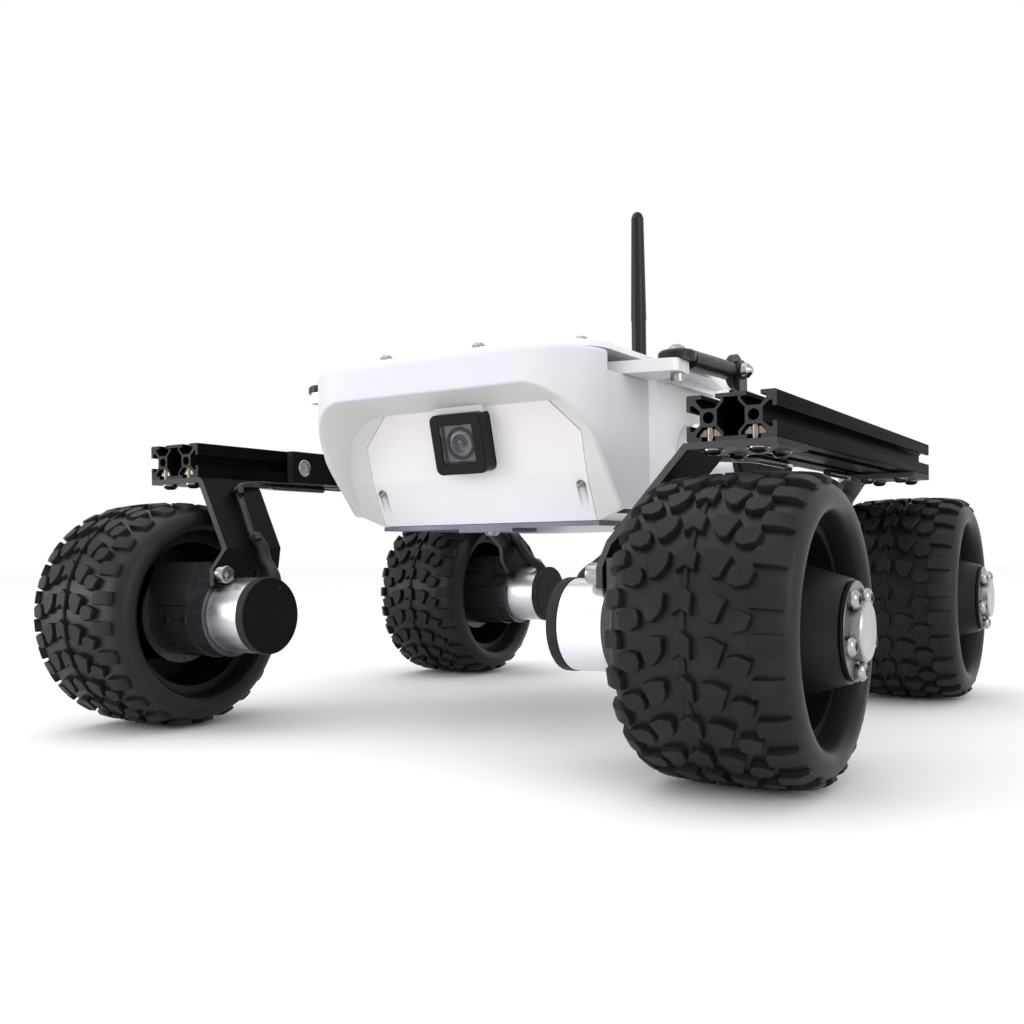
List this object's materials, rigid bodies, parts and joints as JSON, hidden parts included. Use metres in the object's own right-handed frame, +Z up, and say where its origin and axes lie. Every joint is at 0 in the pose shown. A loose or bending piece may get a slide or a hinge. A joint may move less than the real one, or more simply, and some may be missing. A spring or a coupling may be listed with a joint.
{
  "type": "planetary rover prototype",
  "caption": "Small wheeled rover prototype: white body with a hooded camera, slotted side beams, bent sheet legs with wheel motors, chunky off-road tyres and a short antenna.",
  "frame": {"origin": "on the ground, in the middle between the wheels", "axes": "+X to the rover's left side, +Y to its rear, +Z up; the camera looks along -Y"},
  "size_m": [0.4576, 0.4354, 0.311],
  "materials": {
    "tyre_rubber": "matt",
    "rim_black": "satin",
    "hub_grey": "satin",
    "can_silver": "satin",
    "cap_black": "satin",
    "clamp_black": "satin",
    "sheet_black": "satin",
    "profile_black": "satin",
    "printed_white": "satin with fine layers",
    "cover_white": "gloss",
    "body_white": "satin",
    "bezel_black": "gloss",
    "window": "clear",
    "lens_black": "gloss",
    "antenna_black": "satin",
    "plate_silver": "satin",
    "link_black": "satin",
    "bolt_steel": "polished",
    "lead_black": "matt"
  },
  "bodies": {
    "chassis": {"motor_cans": "can_silver", "motor_caps": "cap_black", "motor_clamps": "clamp_black", "motor_leads": "lead_black", "leg_front_left": "sheet_black", "leg_front_right": "sheet_black", "leg_rear_left": "sheet_black", "leg_rear_right": "sheet_black", "beam_left": "profile_black", "beam_right": "profile_black", "visor": "printed_white", "face_panel": "printed_white", "camera_bezel": "bezel_black", "camera_glass": "window", "camera_lens": "lens_black", "body_box": "body_white", "top_cover": "cover_white", "bottom_plate": "plate_silver", "antenna": "antenna_black", "differential_bar": "plate_silver", "differential_post": "bolt_steel", "links": "link_black", "link_bolts": "bolt_steel", "rocker_plate_left": "sheet_black", "rocker_plate_right": "sheet_black", "rocker_arm_left": "sheet_black", "rocker_arm_right": "sheet_black", "rocker_pivot_left": "can_silver", "rocker_pivot_right": "can_silver", "side_angles": "plate_silver"},
    "wheel_front_left": {"tyre_front_left": "tyre_rubber", "rim_front_left": "rim_black", "hub_front_left": "hub_grey"},
    "wheel_front_right": {"tyre_front_right": "tyre_rubber", "rim_front_right": "rim_black", "hub_front_right": "hub_grey"},
    "wheel_rear_left": {"tyre_rear_left": "tyre_rubber", "rim_rear_left": "rim_black", "hub_rear_left": "hub_grey"},
    "wheel_rear_right": {"tyre_rear_right": "tyre_rubber", "rim_rear_right": "rim_black", "hub_rear_right": "hub_grey"}
  },
  "joints": [
    {"name": "roll_front_left", "type": "hinge", "parent": "chassis", "child": "wheel_front_left", "pos_m": [0.18, -0.1525, 0.065], "axis": [1, 0, 0], "continuous": true},
    {"name": "roll_front_right", "type": "hinge", "parent": "chassis", "child": "wheel_front_right", "pos_m": [-0.18, -0.1525, 0.065], "axis": [1, 0, 0], "continuous": true},
    {"name": "roll_rear_left", "type": "hinge", "parent": "chassis", "child": "wheel_rear_left", "pos_m": [0.18, 0.1525, 0.065], "axis": [1, 0, 0], "continuous": true},
    {"name": "roll_rear_right", "type": "hinge", "parent": "chassis", "child": "wheel_rear_right", "pos_m": [-0.18, 0.1525, 0.065], "axis": [1, 0, 0], "continuous": true}
  ]
}
